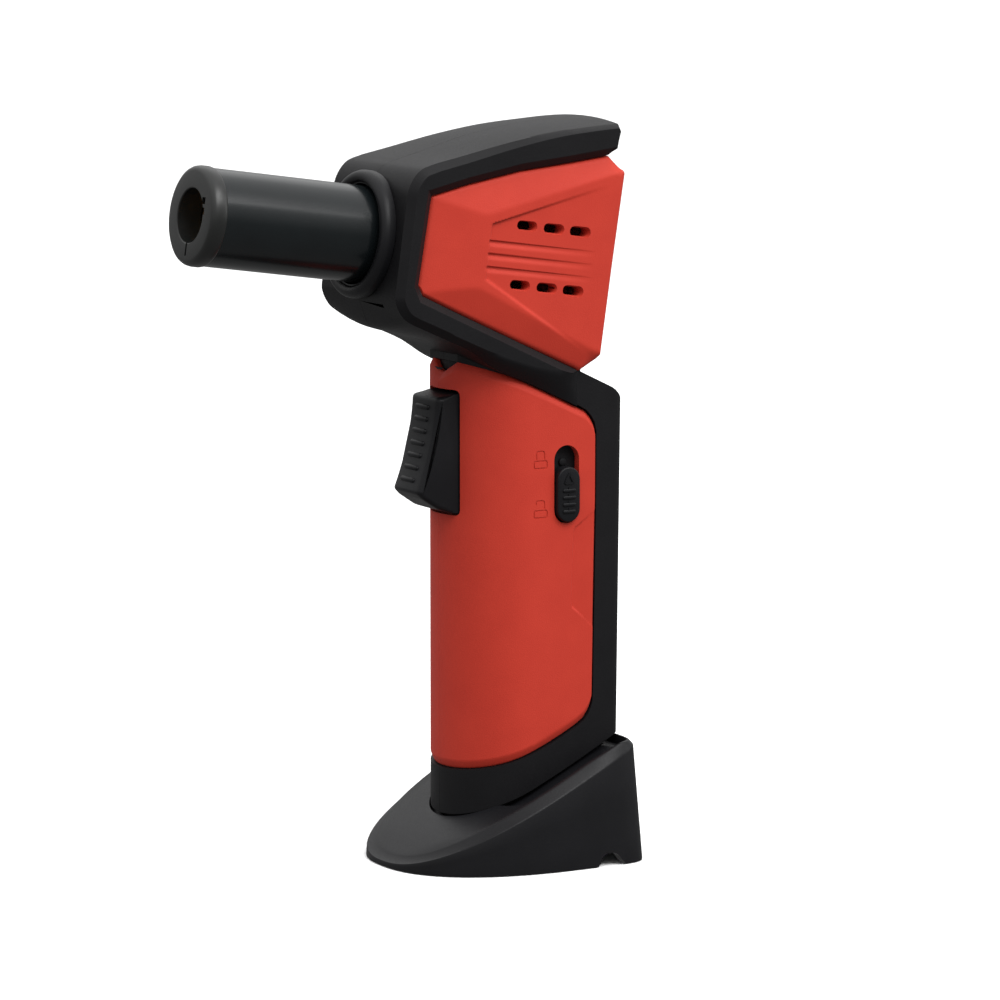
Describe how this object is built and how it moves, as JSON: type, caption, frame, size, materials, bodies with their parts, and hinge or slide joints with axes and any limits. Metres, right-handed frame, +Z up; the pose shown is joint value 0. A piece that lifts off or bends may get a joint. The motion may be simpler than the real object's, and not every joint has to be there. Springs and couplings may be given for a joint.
{
  "type": "butane torch",
  "caption": "Hand-held butane torch with an angled nozzle head, push trigger, sliding lock and thumbwheel, seated in a hollow wedge stand.",
  "frame": {"origin": "the point on the table under the centre of the stand's socket, on the stand's rest face", "axes": "+Z up out of the stand, along the way the torch lifts off; the nozzle points towards -X, nose up by 8 degrees; the lock slider is on the -Y side"},
  "size_m": [0.1062, 0.0534, 0.1713],
  "materials": {
    "satin_black": "satin",
    "matte_black": "fine texture",
    "soft_red": "soft touch",
    "gloss_black": "semi gloss",
    "black_coated_metal": "gloss",
    "brass": "turned",
    "cast_zinc": "cast",
    "ceramic": "smooth",
    "steel": "bright",
    "wire_cover": "smooth",
    "clear_hose": "milky",
    "tank_nylon": "milky",
    "igniter_cream": "moulded",
    "seal_rubber": "matte"
  },
  "bodies": {
    "stand": {"stand": "satin_black"},
    "torch": {"frame_left": "matte_black", "frame_right": "matte_black", "grip_left": "soft_red", "grip_right": "soft_red", "head_panel_left": "soft_red", "head_panel_right": "soft_red", "collar": "gloss_black", "barrel": "black_coated_metal", "tip_ring": "black_coated_metal", "burner_tube": "brass", "diffuser": "brass", "jet_holder": "cast_zinc", "gas_jet": "brass", "insulator": "ceramic", "electrode": "steel", "ignition_wire": "wire_cover", "gas_hose": "clear_hose", "tank": "tank_nylon", "tank_lid": "tank_nylon", "valve_body": "brass", "lever_pin": "steel", "piezo_body": "igniter_cream", "trigger_spring": "steel", "refill_valve": "brass", "refill_spring": "steel", "refill_seal": "seal_rubber", "body_screws": "steel"},
    "trigger": {"trigger": "matte_black"},
    "plunger": {"piezo_plunger": "wire_cover"},
    "lever": {"valve_lever": "steel"},
    "stem": {"valve_stem": "steel"},
    "lock": {"lock_slider": "matte_black", "lock_catch": "matte_black"},
    "adjuster": {"flame_adjuster": "matte_black"},
    "refill_stem": {"refill_stem": "steel"}
  },
  "joints": [
    {"name": "torch_lift", "type": "slide", "parent": "stand", "child": "torch", "axis": [0, 0, 1], "range_m": [0, 0.03]},
    {"name": "trigger_press", "type": "slide", "parent": "torch", "child": "trigger", "axis": [1, 0, 0], "range_m": [0, 0.004], "stiffness_N_per_m": 1500, "springref_m": -0.003, "deforming": ["trigger_spring"]},
    {"name": "plunger_slide", "type": "slide", "parent": "torch", "child": "plunger", "axis": [1, 0, 0], "range_m": [0, 0.004]},
    {"name": "lever_turn", "type": "hinge", "parent": "torch", "child": "lever", "pos_m": [0.0025, 0, 0.0869], "axis": [0, -1, 0], "range_deg": [0, 4.58]},
    {"name": "stem_lift", "type": "slide", "parent": "torch", "child": "stem", "axis": [0, 0, 1], "range_m": [0, 0.001]},
    {"name": "lock_slide", "type": "slide", "parent": "torch", "child": "lock", "axis": [0, 0, 1], "range_m": [0, 0.0046]},
    {"name": "adjuster_turn", "type": "hinge", "parent": "torch", "child": "adjuster", "pos_m": [0.015, 0, 0.07975], "axis": [0, 0, 1], "range_deg": [-90, 90]},
    {"name": "refill_press", "type": "slide", "parent": "torch", "child": "refill_stem", "axis": [0, 0, 1], "range_m": [0, 0.0015], "stiffness_N_per_m": 500, "springref_m": -0.002, "deforming": ["refill_spring"]}
  ],
  "couplings": [
    {"joint": "plunger_slide", "follows": "trigger_press", "ratio": 1},
    {"joint": "lever_turn", "follows": "trigger_press", "rad_per_m": 20},
    {"joint": "stem_lift", "follows": "trigger_press", "ratio": 0.25}
  ]
}
